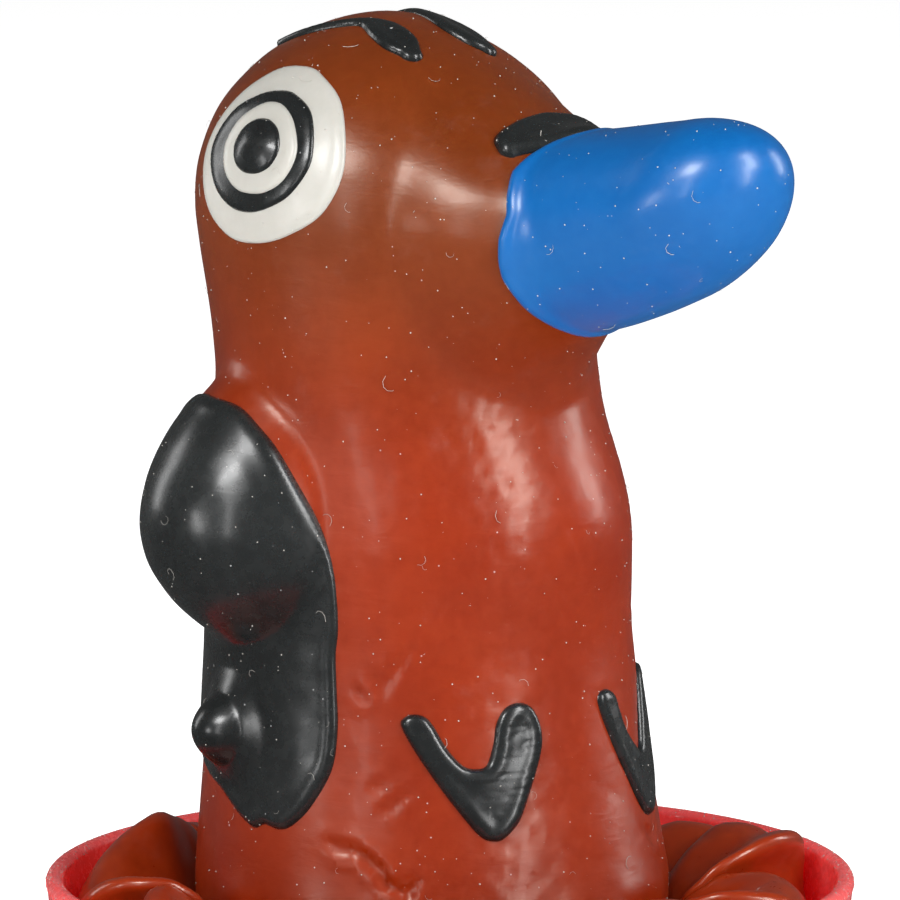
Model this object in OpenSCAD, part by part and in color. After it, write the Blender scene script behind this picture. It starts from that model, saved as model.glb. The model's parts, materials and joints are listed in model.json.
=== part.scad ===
// Dipped-latex novelty bird standing in a plastic cup.
// Millimetres. +Z is up, the bird faces -Y, and the origin is the centre of the cup's flat underside.
// The figure is a hollow latex sheath with coloured latex coats bonded onto it. Its slack skirt is
// bunched up inside the cup, and the whole figure lifts straight up off the former in the cup.

/* [Cup] */
// Outside diameter of the cup at its lip
cup_rim_d = 60; // [54:1:80]
// Outside diameter of the cup at its foot
cup_base_d = 51; // [48:1:70]
// Height of the cup
cup_h = 42; // [36:1:60]
// Thickness of the cup's wall
cup_wall = 1.3; // [0.9:0.1:2]
// Thickness of the cup's floor
cup_floor = 1.6; // [1:0.1:3]

/* [Former] */
// Diameter of the former's foot flange
flange_d = 42; // [34:1:44]
// Thickness of the flange
flange_t = 1.4; // [1:0.1:2.5]
// Thickness of the former's wall
former_wall = 1; // [0.8:0.1:2]
// Air between the former and the inside of the sheath at the lip
former_gap = 1.2; // [0.8:0.1:3]
// Air between the former and the inside of the neck
neck_gap = 1; // [0.7:0.1:3]
// Air between the former's top and the inside of the crown
crown_gap = 5; // [2:0.5:14]

/* [Bird] */
// Height of the crown of the head above the cup's lip
bird_h = 63.5; // [54:0.5:78]
// Diameter of the sheath where it passes the cup's lip
sheath_d = 35.2; // [32:0.2:38]
// Diameter of the neck, the narrowest place
neck_d = 28; // [26:0.2:31]
// Diameter of the head
head_d = 29.8; // [28:0.2:34]
// Height of the head's dome above its widest place
dome_h = 14; // [11:0.1:17]
// Thickness of the latex skin
skin_wall = 0.8; // [0.6:0.1:1.2]
// How far the figure stands behind the cup's centre at the lip
set_back = 1.8; // [0:0.1:2.4]
// How far the head leans back past that
lean_back = 3.4; // [0:0.1:4.4]
// Forward swell of the breast
breast_out = 1.9; // [0:0.1:2.2]
// Length of sheath hidden below the lip
tuck = 10; // [8:0.5:12]

/* [Bill] */
// Distance from the head's axis to the tip of the bill
bill_reach = 36.4; // [31:0.2:43]
// Width of the bill at its root
bill_root_w = 15; // [12:0.2:17]
// Depth of the bill at its root
bill_root_depth = 15.2; // [12:0.2:17]
// Width of the bill near its tip
bill_tip_w = 12.6; // [9:0.2:14]
// Depth of the bill near its tip
bill_tip_depth = 10.8; // [9:0.2:14]
// How far the tip curves up above the root
bill_lift = 4.8; // [0:0.2:7]
// How far the face swells out to meet the bill
face_out = 6.5; // [3:0.5:8]

/* [Eyes] */
// Diameter of the white of the eye
eye_d = 14; // [11:0.2:15]
// Diameter of the black disc on the white
disc_d = 9.4; // [8:0.1:10]
// Diameter of the white disc on the black
inner_d = 6.8; // [5.4:0.1:7.4]
// Diameter of the pupil
pupil_d = 4.2; // [3:0.1:5]
// Direction of each eye, in degrees round from the bill
eye_angle = 91; // [80:1:100]

/* [Wings and feet] */
// Direction of each wing's bulges, in degrees round from the bill
wing_angle = 107; // [100:1:116]
// Width of the wing's round shoulder where it leaves the sheath
shoulder_d = 19.6; // [16:0.5:24]
// How far the shoulder stands out
shoulder_out = 6.8; // [3:0.1:8]
// Width of the wing's small tip where it leaves the sheath
wing_tip_d = 7.6; // [5:0.2:10]
// How far the wing's tip stands out
wing_tip_out = 2.5; // [1:0.1:3.4]
// Thickness of the coloured latex coats
coat = 0.35; // [0.25:0.05:0.6]

/* [Skirt] */
// Thickness of the slack film
film = 0.5; // [0.4:0.1:0.8]
// Number of folds round the skirt
folds = 9; // [6:1:14]
// Depth of the folds
fold_depth = 2.6; // [1:0.1:3.2]
// Thickness of the bead rolled along the open end
bead_d = 1.8; // [1.2:0.1:2.4]

/* [Hidden] */

RIGHT = -1;                              // the bird's own right is -X
LEFT = 1;

clearance = 0.4;                         // between the film and the cup's wall
bite = 0.15;                             // how deep a coat is keyed into the layer below it

cup_in_rim_r = cup_rim_d / 2 - cup_wall;
cup_in_base_r = cup_base_d / 2 - cup_wall;

head_h = bird_h - dome_h;                // height of the head's widest place above the lip
neck_h = head_h * 0.76;
shoulder_h = head_h * 0.56;
wing_tip_h = head_h * 0.24;
breast_h = head_h * 0.5;
eye_h = head_h + dome_h * 0.35;
bill_h = head_h - 0.5;
dome_power = 0.56;                       // 0.5 is an ellipsoid, and more is pointed

// ---- numbers -------------------------------------------------------------------------------

function clamp(v, lo, hi) = max(lo, min(hi, v));
function ease(t) = let (u = clamp(t, 0, 1)) u * u * (3 - 2 * u);
function mix(a, b, t) = a + (b - a) * t;
function steps(from, to, n) = [for (i = [0 : n - 1]) mix(from, to, i / n)];
function flat(lists) = [for (l = lists) for (p = l) p];
function reversed(l) = [for (i = [len(l) - 1 : -1 : 0]) l[i]];

// ---- closed surfaces from rings of points --------------------------------------------------

function quad(a, b, c, d) = [[a, b, c], [a, c, d]];
function band(first, second, n) =
    flat([for (j = [0 : n - 1])
        let (k = (j + 1) % n) quad(first + j, second + j, second + k, first + k)]);
function fan(ring, pole, n) = [for (j = [0 : n - 1]) [ring + j, pole, ring + (j + 1) % n]];
function turned(faces) = [for (f = faces) reversed(f)];

// A dome: rings from a flat foot up to one pole.
module dome(rings, foot, pole) {
    n = len(rings[0]);
    m = len(rings);
    polyhedron(
        points = concat(flat(rings), [foot, pole]),
        faces = concat(
            flat([for (i = [0 : m - 2]) band(i * n, (i + 1) * n, n)]),
            fan((m - 1) * n, m * n + 1, n),
            turned(fan(0, m * n, n))
        ),
        convexity = 10
    );
}

// A thin layer with two sides that meet along one edge. Each side is rings from edge to pole.
module layer(outer, outer_pole, inner, inner_pole) {
    n = len(outer[0]);
    no = len(outer);
    ni = len(inner);
    first_inner = no * n;
    poles = (no + ni) * n;
    polyhedron(
        points = concat(flat(outer), flat(inner), [outer_pole, inner_pole]),
        faces = concat(
            flat([for (i = [0 : no - 2]) band(i * n, (i + 1) * n, n)]),
            fan((no - 1) * n, poles, n),
            turned(concat(
                flat([for (i = [0 : ni - 2])
                    band(first_inner + i * n, first_inner + (i + 1) * n, n)]),
                fan(first_inner + (ni - 1) * n, poles + 1, n),
                band(0, first_inner, n)
            ))
        ),
        convexity = 10
    );
}

// A ring-shaped solid: rings[k] is the circle that the k-th point of its section runs round.
module closed_loop(rings) {
    n = len(rings[0]);
    m = len(rings);
    polyhedron(
        points = flat(rings),
        faces = flat([for (i = [0 : m - 1]) band(i * n, ((i + 1) % m) * n, n)]),
        convexity = 10
    );
}

// A solid swept through sections that have the same number of points, with a flat end at each.
module swept(sections) {
    n = len(sections[0]);
    m = len(sections);
    polyhedron(
        points = flat(sections),
        faces = concat(
            flat([for (i = [0 : m - 2]) band(i * n, (i + 1) * n, n)]),
            [for (j = [1 : n - 2]) [(m - 1) * n, (m - 1) * n + j + 1, (m - 1) * n + j]],
            [for (j = [1 : n - 2]) [0, j, j + 1]]
        ),
        convexity = 4
    );
}

// ---- the shape of the sheath ---------------------------------------------------------------
// h is height above the lip, and a is the angle round from the bill, positive to the bird's left.

function axis_y(h) = set_back + lean_back * pow(clamp(h / head_h, 0, 1.3), 0.92);
function plain_r(h, inset) =
    h >= head_h
        ? let (r = head_d / 2 - inset, c = dome_h - inset)
          r * pow(max(0, 1 - pow((h - head_h) / c, 2)), dome_power)
    : h >= neck_h
        ? mix(neck_d, head_d, ease((h - neck_h) / (head_h - neck_h))) / 2 - inset
        : mix(neck_d, sheath_d, pow(1 - max(h, 0) / neck_h, 1.4)) / 2 - inset;

function swell(distance, reach, out, power) =
    distance >= reach ? 0 : out * pow(1 - pow(distance / reach, 2), power);
function away(a, h, a0, h0) = norm([(a - a0) * PI / 180 * plain_r(h0, 0), h - h0]);
function shoulder(a, h, inset) =
    swell(away(abs(a), h, wing_angle, shoulder_h), shoulder_d / 2, shoulder_out, 1.15);
function wing_tip(a, h, inset) =
    inset > 0.2 ? 0 : let (d = away(abs(a), h, wing_angle, wing_tip_h))
    swell(d, wing_tip_d / 2, wing_tip_out * 0.6, 1.5) + swell(d, wing_tip_d / 3, wing_tip_out * 0.4, 1);
function breast(a, h) =
    breast_out * exp(-pow((h - breast_h) / 7, 2)) * exp(-pow(a / 60, 2));
function face(a, h) = swell(away(a, h, 0, bill_h - 0.6), 13, face_out, 1.4);
function skin_r(a, h, inset) =
    plain_r(h, inset) + breast(a, h) + face(a, h) + shoulder(a, h, inset) + wing_tip(a, h, inset);

// A point on the skin, raised above it.
function on_skin(a, h, raised = 0, inset = 0) =
    let (r = skin_r(a, h, inset) + raised)
    [r * sin(a), axis_y(h) - r * cos(a), h];

// Angles and heights close together where the wings and the face swell.
turn_list = concat(
    steps(-180, -136, 5), steps(-136, -80, 15), steps(-80, -36, 6), steps(-36, 36, 12),
    steps(36, 80, 6), steps(80, 136, 15), steps(136, 180, 5)
);
inner_turn_list = concat(
    steps(-180, -136, 3), steps(-136, -80, 9), steps(-80, -36, 4), steps(-36, 36, 8),
    steps(36, 80, 4), steps(80, 136, 9), steps(136, 180, 3)
);
outer_levels = concat(
    [-tuck, -tuck * 0.4], steps(0, wing_tip_h - 4, 2), steps(wing_tip_h - 4, wing_tip_h + 4, 9),
    steps(wing_tip_h + 4, neck_h, 14), steps(neck_h, head_h, 7),
    [for (i = [0 : 10]) head_h + dome_h * sin(i * 8.4)]
);
inner_levels = concat(
    [-tuck - 1], steps(0, shoulder_h - 11, 4), steps(shoulder_h - 11, neck_h, 10),
    steps(neck_h, head_h, 4),
    [for (i = [0 : 6]) head_h + (dome_h - skin_wall) * sin(i * 13)]
);

module sheath(levels, turn, inset) {
    dome(
        [for (h = levels) [for (a = turn) on_skin(a, h, 0, inset)]],
        [0, axis_y(0), levels[0]], [0, axis_y(bird_h), bird_h - inset]
    );
}

// ---- coats bonded to the skin --------------------------------------------------------------

// How a coat thickens from its edge inwards, ring by ring.
function edge_lift(rings, under, over) =
    [for (i = [0 : rings - 1])
        mix(under + (over - under) * 0.35, over, sqrt(1 - pow(1 - i / rings, 4)))];

// A coat whose outline can be seen whole from its middle. Outline points are [degrees, height].
module patch(side, outline, middle, rings, under, over) {
    lift = edge_lift(rings, under, over);
    points = side > 0 ? outline : reversed(outline);
    scaled = function (i) [for (p = points) mix(p, middle, i / rings)];
    layer(
        [for (i = [0 : rings - 1]) [for (p = scaled(i)) on_skin(p[0], p[1], lift[i])]],
        on_skin(middle[0], middle[1], over),
        [for (i = [0 : rings - 1]) [for (p = scaled(i)) on_skin(p[0], p[1], under)]],
        on_skin(middle[0], middle[1], under)
    );
}

// The flattened section of a brush stroke, [across, up].
stroke_section = [[1, -bite], [1, 0.12], [0.6, coat], [-0.6, coat], [-1, 0.12], [-1, -bite]];
function stroke_swell(s, count) =
    sqrt(1 - pow(1 - clamp(min(s, count - s) / count * 5 + 0.2, 0, 1), 2));
function along(line, t) = let (i = min(floor(t), len(line) - 2)) mix(line[i], line[i + 1], t - i);

// ---- cup and former ------------------------------------------------------------------------

module cup() {
    lip = cup_wall / 2;
    slope = (cup_rim_d - cup_base_d) / 2 / cup_h;
    color("red") rotate_extrude($fn = 96) {
        difference() {
            union() {
                polygon([
                    [0, 0], [cup_base_d / 2 - 1, 0], [cup_base_d / 2, 1],
                    [cup_rim_d / 2 - slope * lip, cup_h - lip],
                    [cup_in_rim_r, cup_h - lip], [0, cup_h - lip]
                ]);
                translate([cup_rim_d / 2 - lip, cup_h - lip]) circle(r = lip, $fn = 32);
            }
            polygon([
                [0, cup_floor], [cup_in_base_r, cup_floor],
                [cup_in_rim_r, cup_h - lip], [cup_in_rim_r, cup_h + 1], [0, cup_h + 1]
            ]);
        }
    }
}

// The former stands upright between the sheath's foot and its neck, and both clear it as they rise.
former_y = mix(axis_y(0), axis_y(neck_h), 0.4);
former_lip_r = sheath_d / 2 - skin_wall - (former_y - axis_y(0)) - former_gap;
former_neck_r = neck_d / 2 - skin_wall - (axis_y(neck_h) - former_y) - neck_gap;
former_top_r = former_neck_r - 1;
former_end_h = bird_h - skin_wall - crown_gap - former_top_r;

module former_body(inset) {
    translate([0, 0, cup_floor]) cylinder(r = former_lip_r - inset, h = cup_h - cup_floor, $fn = 96);
    translate([0, 0, cup_h]) cylinder(r1 = former_lip_r - inset, r2 = former_neck_r - inset,
        h = neck_h, $fn = 96);
    translate([0, 0, cup_h + neck_h]) cylinder(r1 = former_neck_r - inset, r2 = former_top_r - inset,
        h = former_end_h - neck_h, $fn = 96);
    translate([0, 0, cup_h + former_end_h]) sphere(r = former_top_r - inset, $fn = 96);
}

module former() {
    color("ivory") difference() {
        union() {
            translate([0, 0, cup_floor]) cylinder(r = flange_d / 2, h = flange_t, $fn = 96);
            translate([0, former_y, 0]) former_body(0);
        }
        translate([0, former_y, 0]) former_body(former_wall);
    }
}

// ---- latex figure --------------------------------------------------------------------------

bill_root_f = head_d / 2 - 3;
bill_end_f = bill_reach - bill_tip_w / 2;
function bill_rise(f) = bill_lift * pow(max(f - bill_root_f, 0) / (bill_reach - bill_root_f), 1.5);

// A blunt tube that narrows and curves up a little.
function bill_at(t) =
    let (f = mix(bill_root_f, bill_end_f, t)) [0, axis_y(head_h) - f, bill_h + bill_rise(f)];
function bill_size(t, inset) = [
    mix(bill_root_w, bill_tip_w, ease(t)) / 2 - inset, bill_tip_w / 2 - inset,
    mix(bill_root_depth, bill_tip_depth, ease(t)) / 2 - inset
];
module bill_slice(t, inset, turn) {
    size = bill_size(t, inset);
    translate(bill_at(t)) scale([size[0], 0.04, size[2]])
        rotate([90, 0, 0]) cylinder(r = 1, h = 1, $fn = turn);
}
module bill_form(inset, turn) {
    spans = 8;
    for (i = [0 : spans - 1]) hull() {
        bill_slice(i / spans, inset, turn);
        bill_slice((i + 1) / spans, inset, turn);
    }
    hull() {
        bill_slice(1, inset, turn);
        translate(bill_at(1)) scale(bill_size(1, inset)) difference() {
            rotate([90, 0, 0]) sphere(r = 1, $fn = turn);
            translate([-2, 0, -2]) cube(4);
        }
    }
}

module bird_skin() {
    color("sienna") translate([0, 0, cup_h]) difference() {
        union() {
            sheath(outer_levels, turn_list, 0);
            bill_form(0, 28);
        }
        sheath(inner_levels, inner_turn_list, skin_wall);
        bill_form(skin_wall, 20);
    }
}

module bill() {
    color("dodgerblue") translate([0, 0, cup_h]) difference() {
        bill_form(-coat, 28);
        bill_form(bite, 28);
        sheath(outer_levels, turn_list, bite);
    }
}

// The section of the skirt, [radius, height above the lip], from the sheath out and down to the bead.
skirt_start_r = sheath_d / 2 - 0.3;
skirt_low = cup_floor + flange_t + 6 - cup_h;
bead_r = sheath_d / 2 + 0.4;
function cup_room(h) =
    mix(cup_in_base_r, cup_in_rim_r, clamp((h + cup_h - cup_floor) / (cup_h - cup_floor), 0, 1))
    - clearance - film;
skirt_path = let (span = cup_room(0) - skirt_start_r, deep = skirt_low + tuck) [
    [skirt_start_r, -tuck + 0.2], [skirt_start_r + span * 0.12, -tuck - 1.8],
    [skirt_start_r + span * 0.3, -tuck - 0.6], [skirt_start_r + span * 0.4, -tuck * 0.5],
    [skirt_start_r + span * 0.5, 0.4], [skirt_start_r + span * 0.64, 2.8],
    [skirt_start_r + span * 0.8, 1.8], [cup_room(-3), -3],
    [cup_room(-tuck), -tuck], [cup_room(mix(-tuck, skirt_low, 0.45)), -tuck + deep * 0.45],
    [cup_room(mix(-tuck, skirt_low, 0.8)), -tuck + deep * 0.8],
    [cup_room(skirt_low) - 1.6, -tuck + deep * 0.96],
    [mix(bead_r, cup_room(skirt_low), 0.45), skirt_low - 0.4], [bead_r + bead_d * 0.4, skirt_low]
];
skirt_fullness = [0, 0, 0.35, 0.7, 1, 1, 1, 0.9, 0.8, 0.7, 0.5, 0.3, 0.1, 0];
function skirt_axis_y(i) = set_back * (i < 2 ? 1 : i < 7 ? 1 - (i - 1) / 6 : i < 11 ? 0 : (i - 10) / 3);
function skirt_point(i, side, a) =
    let (
        d = skirt_path[min(i + 1, len(skirt_path) - 1)] - skirt_path[max(i - 1, 0)],
        normal = [-d[1], d[0]] / norm(d),
        fold = skirt_fullness[i] * fold_depth * (0.5 - 0.5 * cos(folds * a + 40 * sin(2 * a))),
        p = skirt_path[i] + normal * film / 2 * side,
        r = p[0] - fold * (i > 6 ? 1 : 0.35)
    )
    [r * sin(a), skirt_axis_y(i) - r * cos(a), p[1] - (i > 2 && i < 9 ? fold * 0.9 : 0)];

module skirt() {
    turn = 60;
    last = len(skirt_path) - 1;
    ring = function (i, side) [for (j = [0 : turn - 1]) skirt_point(i, side, 360 * j / turn)];
    color("saddlebrown") translate([0, 0, cup_h]) closed_loop(concat(
        [for (i = [0 : last]) ring(i, -1)],
        [for (i = [last : -1 : 0]) ring(i, 1)]
    ));
}

module rolled_bead() {
    color("sienna") translate([0, set_back, cup_h + skirt_low])
        rotate_extrude($fn = 96) translate([bead_r, 0]) circle(d = bead_d, $fn = 32);
}

// ---- painted coats -------------------------------------------------------------------------

// The stroke that straddles the root of the bill, laid over the swell of the face.
module bill_saddle() {
    out_w = bill_root_w / 2 + 1;
    out_d = bill_root_depth / 2 + 1.3;
    line = [for (b = [-50 : 10 : 50])
        [asin(out_w * sin(b) / (head_d / 2 + face_out * 0.3)), bill_h + out_d * cos(b), 1.9 * cos(b)]];
    count = 20;
    spans = len(line) - 1;
    mean_r = head_d / 2 + face_out * 0.3;
    color("dimgray") translate([0, 0, cup_h]) swept([for (s = [0 : count])
        let (
            t = spans * s / count,
            p = along(line, t),
            d = along(line, min(t + 0.3, spans)) - along(line, max(t - 0.3, 0)),
            ahead = [d[0] * mean_r * PI / 180, d[1]],
            across = [-ahead[1], ahead[0]] / norm(ahead),
            w = p[2] / 2 * stroke_swell(s, count)
        )
        [for (q = stroke_section)
            on_skin(p[0] + across[0] * w * q[0] * 180 / PI / mean_r, p[1] + across[1] * w * q[0], q[1])]
    ]);
}

// A brow lies over the crown, where the skin is nearly level. line is [y from the head's axis, width].
module brow(side) {
    across = 4.6;
    line = [[6.6, 0.8], [3.8, 1.1], [0.8, 1.3], [-2.2, 1.7], [-4.4, 3], [-6.4, 2.2]];
    count = 16;
    spans = len(line) - 1;
    on_crown = function (x, y, up)
        let (
            q = sqrt(max(0, 1 - pow(norm([x, y]) / (head_d / 2), 1 / dome_power))),
            grow = 1 + up / (head_d / 2)
        )
        [x * grow, axis_y(head_h + dome_h * q) + y * grow, head_h + dome_h * q * (1 + up / dome_h)];
    color("dimgray") translate([0, 0, cup_h]) swept([for (s = [0 : count])
        let (p = along(line, spans * s / count), w = p[1] / 2 * stroke_swell(s, count))
        [for (q = stroke_section) on_crown(side * across + w * q[0], p[0], q[1])]
    ]);
}

// An outline round the eye's centre. The skin slopes there, so its height is drawn shorter.
eye_slope = 0.9;
function eye_circle(side, d, grown = 1) =
    [for (j = [0 : 29])
        let (b = 360 * j / 30, r = d / 2 * grown, h = eye_h + r * eye_slope * sin(b))
        [side * (eye_angle + r * cos(b) * 180 / PI / plain_r(h, 0)), h]];
module eye_layer(side, d, rings, under, over) {
    circle_at = function (i, up)
        let (ring = [for (p = eye_circle(side, d, 1 - i / rings)) on_skin(p[0], p[1], up)])
        side > 0 ? ring : reversed(ring);
    lift = edge_lift(rings, under, over);
    translate([0, 0, cup_h]) layer(
        [for (i = [0 : rings - 1]) circle_at(i, lift[i])],
        on_skin(side * eye_angle, eye_h, over),
        [for (i = [0 : rings - 1]) circle_at(i, under)],
        on_skin(side * eye_angle, eye_h, under)
    );
}

module eye_white(side) {
    color("white") eye_layer(side, eye_d, 5, -bite, coat);
}

module eye_disc(side) {
    color("dimgray") eye_layer(side, disc_d, 4, coat - bite, coat * 1.9);
}

module eye_inner(side) {
    color("white") eye_layer(side, inner_d, 3, coat * 1.9 - bite, coat * 2.8);
}

module eye_pupil(side) {
    color("dimgray") eye_layer(side, pupil_d, 3, coat * 2.8 - bite, coat * 4.2);
}

module wing(side) {
    top = shoulder_h + shoulder_d / 2 - 1;
    bottom = wing_tip_h - 7.6;
    middle_h = (top + bottom) / 2;
    half = (top - bottom) / 2;
    // Narrow over the shoulder, wider beside the tip, and nipped in a little below it.
    outline = [for (j = [0 : 43])
        let (b = 360 * j / 44, u = sin(b))
        [side * (wing_angle - 1 + (34 + 5 * -u) * cos(b)), middle_h + half * u]];
    color("dimgray") translate([0, 0, cup_h])
        patch(side, outline, [side * wing_angle, middle_h], 10, -bite, coat);
}

// A foot is a V of two round-ended toes. The heel and the toes are [degrees, height, width].
module foot(side, heel, outer_toe, inner_toe) {
    scale_a = 180 / PI / (sheath_d / 2 - 0.6);
    level = function (p) [p[0] / scale_a, p[1]];
    bearing = function (toe) let (d = level(toe) - level(heel)) atan2(d[1], d[0]);
    end = function (p, from, to, n)
        [for (k = [0 : n]) let (b = mix(from, to, k / n)) level(p) + p[2] / 2 * [cos(b), sin(b)]];
    b_out = bearing(outer_toe);
    b_in = bearing(inner_toe);
    outline = concat(
        end(outer_toe, b_out - 80, b_out + 80, 8),
        [level(heel) + [0.1, heel[2] * 0.75]],
        end(inner_toe, b_in - 80, b_in + 80, 8),
        end(heel, b_in + 90, b_out + 270, 8)
    );
    color("dimgray") translate([0, 0, cup_h]) patch(
        side, [for (p = outline) [side * p[0] * scale_a, p[1]]],
        [side * heel[0], heel[1] + heel[2] * 0.2], 4, -bite, coat
    );
}

module right_foot() {
    foot(RIGHT, [30, 7, 3.6], [48, 14.2, 2.2], [21, 14.4, 3]);
}

module left_foot() {
    foot(LEFT, [26, 6.6, 3.4], [45, 14, 2.4], [12, 14.2, 2.2]);
}

cup();
former();
bird_skin();
skirt();
rolled_bead();
bill();
bill_saddle();
brow(RIGHT);  // right_brow
brow(LEFT);  // left_brow
eye_white(RIGHT);  // right_eye_white
eye_disc(RIGHT);  // right_eye_disc
eye_inner(RIGHT);  // right_eye_inner
eye_pupil(RIGHT);  // right_eye_pupil
eye_white(LEFT);  // left_eye_white
eye_disc(LEFT);  // left_eye_disc
eye_inner(LEFT);  // left_eye_inner
eye_pupil(LEFT);  // left_eye_pupil
wing(RIGHT);  // right_wing
wing(LEFT);  // left_wing
right_foot();
left_foot();
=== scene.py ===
import json
import math

import bmesh
import bpy
import numpy as np
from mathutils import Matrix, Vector

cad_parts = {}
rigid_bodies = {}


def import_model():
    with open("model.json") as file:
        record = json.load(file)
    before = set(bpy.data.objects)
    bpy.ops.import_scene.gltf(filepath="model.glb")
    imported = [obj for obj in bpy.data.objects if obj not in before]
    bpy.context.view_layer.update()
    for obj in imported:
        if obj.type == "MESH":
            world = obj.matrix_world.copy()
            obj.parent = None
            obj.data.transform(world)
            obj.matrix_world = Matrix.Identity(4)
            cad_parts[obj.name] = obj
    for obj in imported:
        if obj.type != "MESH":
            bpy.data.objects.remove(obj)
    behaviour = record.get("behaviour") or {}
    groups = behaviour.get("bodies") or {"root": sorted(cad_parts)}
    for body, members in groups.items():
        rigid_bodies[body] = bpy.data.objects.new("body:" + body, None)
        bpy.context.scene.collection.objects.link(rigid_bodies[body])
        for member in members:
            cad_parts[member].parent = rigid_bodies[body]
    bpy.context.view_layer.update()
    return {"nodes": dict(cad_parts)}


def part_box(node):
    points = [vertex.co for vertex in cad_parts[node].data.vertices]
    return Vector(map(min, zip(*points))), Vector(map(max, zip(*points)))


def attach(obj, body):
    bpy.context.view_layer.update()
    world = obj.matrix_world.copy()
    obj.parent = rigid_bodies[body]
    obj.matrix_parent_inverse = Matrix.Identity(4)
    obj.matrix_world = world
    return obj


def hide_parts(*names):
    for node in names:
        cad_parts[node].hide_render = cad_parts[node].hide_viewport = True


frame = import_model()

# ---- Cup ---------------------------------------------------------------------------------------
# A thin moulded cup in red gloss plastic with a rounded lip. The figure stands in it on a former,
# and the cup's own wall keeps the slack end of the figure bunched up and out of the way.

MM = 0.001                                   # shapes below are worked out in millimetres
LIP_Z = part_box("cup")[1].z / MM              # height of the cup's lip above the table


class Wire:
    """One output of a shader node. Sums on wires add Math nodes, so masks read as arithmetic."""

    def __init__(self, tree, out):
        self.tree, self.out = tree, out

    def make(self, kind, settings=None, sockets=None, pick=0):
        """Adds a node: its settings first, then its sockets by name or number. Returns output pick."""
        node = self.tree.nodes.new(kind)
        for name, value in (settings or {}).items():
            setattr(node, name, value)
        for name, value in (sockets or {}).items():
            socket = node.inputs[name]
            if isinstance(value, Wire):
                self.tree.links.new(value.out, socket)
            else:
                socket.default_value = value
        return Wire(self.tree, node.outputs[pick])

    def maths(self, operation, *terms):
        return self.make("ShaderNodeMath", {"operation": operation}, dict(enumerate(terms)))

    def __add__(self, other):
        return self.maths("ADD", self, other)

    __radd__ = __add__

    def __sub__(self, other):
        return self.maths("SUBTRACT", self, other)

    def __rsub__(self, other):
        return self.maths("SUBTRACT", other, self)

    def __mul__(self, other):
        return self.maths("MULTIPLY", self, other)

    __rmul__ = __mul__

    def __truediv__(self, other):
        return self.maths("DIVIDE", self, other)

    def clip(self):
        return self.make("ShaderNodeClamp", None, {"Value": self})

    def between(self, low, high):
        """0 below low, 1 above high, smooth in between."""
        return self.make(
            "ShaderNodeMapRange",
            {"interpolation_type": "SMOOTHSTEP"},
            {"Value": self, "From Min": low, "From Max": high},
        )

    def tint(self, low, high):
        """The colour low where this wire is 0 and high where it is 1."""
        return self.make(
            "ShaderNodeMix", {"data_type": "RGBA"}, {0: self, 6: rgba(low), 7: rgba(high)}, 2
        )


def rgba(colour):
    return colour if isinstance(colour, Wire) else (*colour[:3], 1)


class Finish:
    """A material for this object: its shader, and a wire that gives the place on the object."""

    def __init__(self, name, **constants):
        self.material = bpy.data.materials.new(name)
        self.material.use_nodes = True
        self.tree = self.material.node_tree
        self.shader = self.tree.nodes["Principled BSDF"]
        for socket, value in constants.items():
            self.shader.inputs[socket.replace("_", " ")].default_value = value
        self.place = Wire(self.tree, None).make("ShaderNodeTexCoord", pick=3)

    def height(self):
        """Millimetres above the table."""
        return self.place.make("ShaderNodeSeparateXYZ", None, {"Vector": self.place}, 2) / MM

    def noise(self, per_mm, detail=3, roughness=0.55, stretch=(1, 1, 1), distortion=0.0):
        """Noise whose features are 1 / per_mm millimetres across, pulled out along an axis if asked."""
        scale = [s * per_mm / MM for s in stretch]
        where = self.place.make("ShaderNodeMapping", None, {"Vector": self.place, "Scale": scale})
        look = {"Scale": 1.0, "Detail": detail, "Roughness": roughness, "Distortion": distortion}
        return self.place.make("ShaderNodeTexNoise", None, {"Vector": where, **look})

    def specks(self, per_mm, share, size):
        """A mask of round specks: share of the cells have one, size is its radius in cells."""
        cell = self.place.make("ShaderNodeTexVoronoi", None, {"Vector": self.place, "Scale": per_mm / MM})
        colour = Wire(self.tree, cell.out.node.outputs["Color"])
        chance = colour.make("ShaderNodeSeparateColor", None, {"Color": colour})
        near = 1 - cell.between(size * 0.6, size)
        return near * (1 - chance.between(share - 0.02, share + 0.02))

    def set(self, socket, value):
        if isinstance(value, Wire):
            self.tree.links.new(value.out, self.shader.inputs[socket])
        else:
            self.shader.inputs[socket].default_value = value

    def bump(self, height, distance, strength=1.0):
        depth = {"Distance": distance * MM, "Strength": strength}
        self.set("Normal", height.make("ShaderNodeBump", None, {"Height": height, **depth}))


def cad_finish(finish, *nodes):
    """Gives CAD nodes this material."""
    for name in nodes:
        mesh = frame["nodes"][name].data
        mesh.materials.clear()
        mesh.materials.append(finish.material)


cup_red = Finish(
    "cup_red_gloss",
    IOR=1.5,
    Subsurface_Weight=0.7,
    Subsurface_Radius=(1.0, 0.2, 0.18),
    Subsurface_Scale=0.005,
    Coat_Weight=0.6,
    Coat_Roughness=0.2,
)
cloud = cup_red.noise(0.06, 2)
scuff = cup_red.noise(1.4, 5, 0.75)
dust = cup_red.specks(0.9, 0.16, 0.12)
wall_red = cloud.tint((0.78, 0.013, 0.022), (0.84, 0.02, 0.032))
painted_lip_light, dust_pink = (0.95, 0.12, 0.12), (0.8, 0.55, 0.5)
# Painted light: the base colour turns pale pink towards the lip, for light that comes through the thin
# plastic there.
painted_lip_glow = cup_red.height().between(LIP_Z - 6, LIP_Z + 0.5)
cup_red.set("Base Color", (dust * 0.7).tint(painted_lip_glow.tint(wall_red, painted_lip_light), dust_pink))
cup_red.set("Roughness", 0.27 + 0.1 * scuff.between(0.5, 0.8))
cup_red.bump(cup_red.noise(0.12, 2) + 0.03 * scuff, 0.12, 0.12)
cad_finish(cup_red, "cup")

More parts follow.
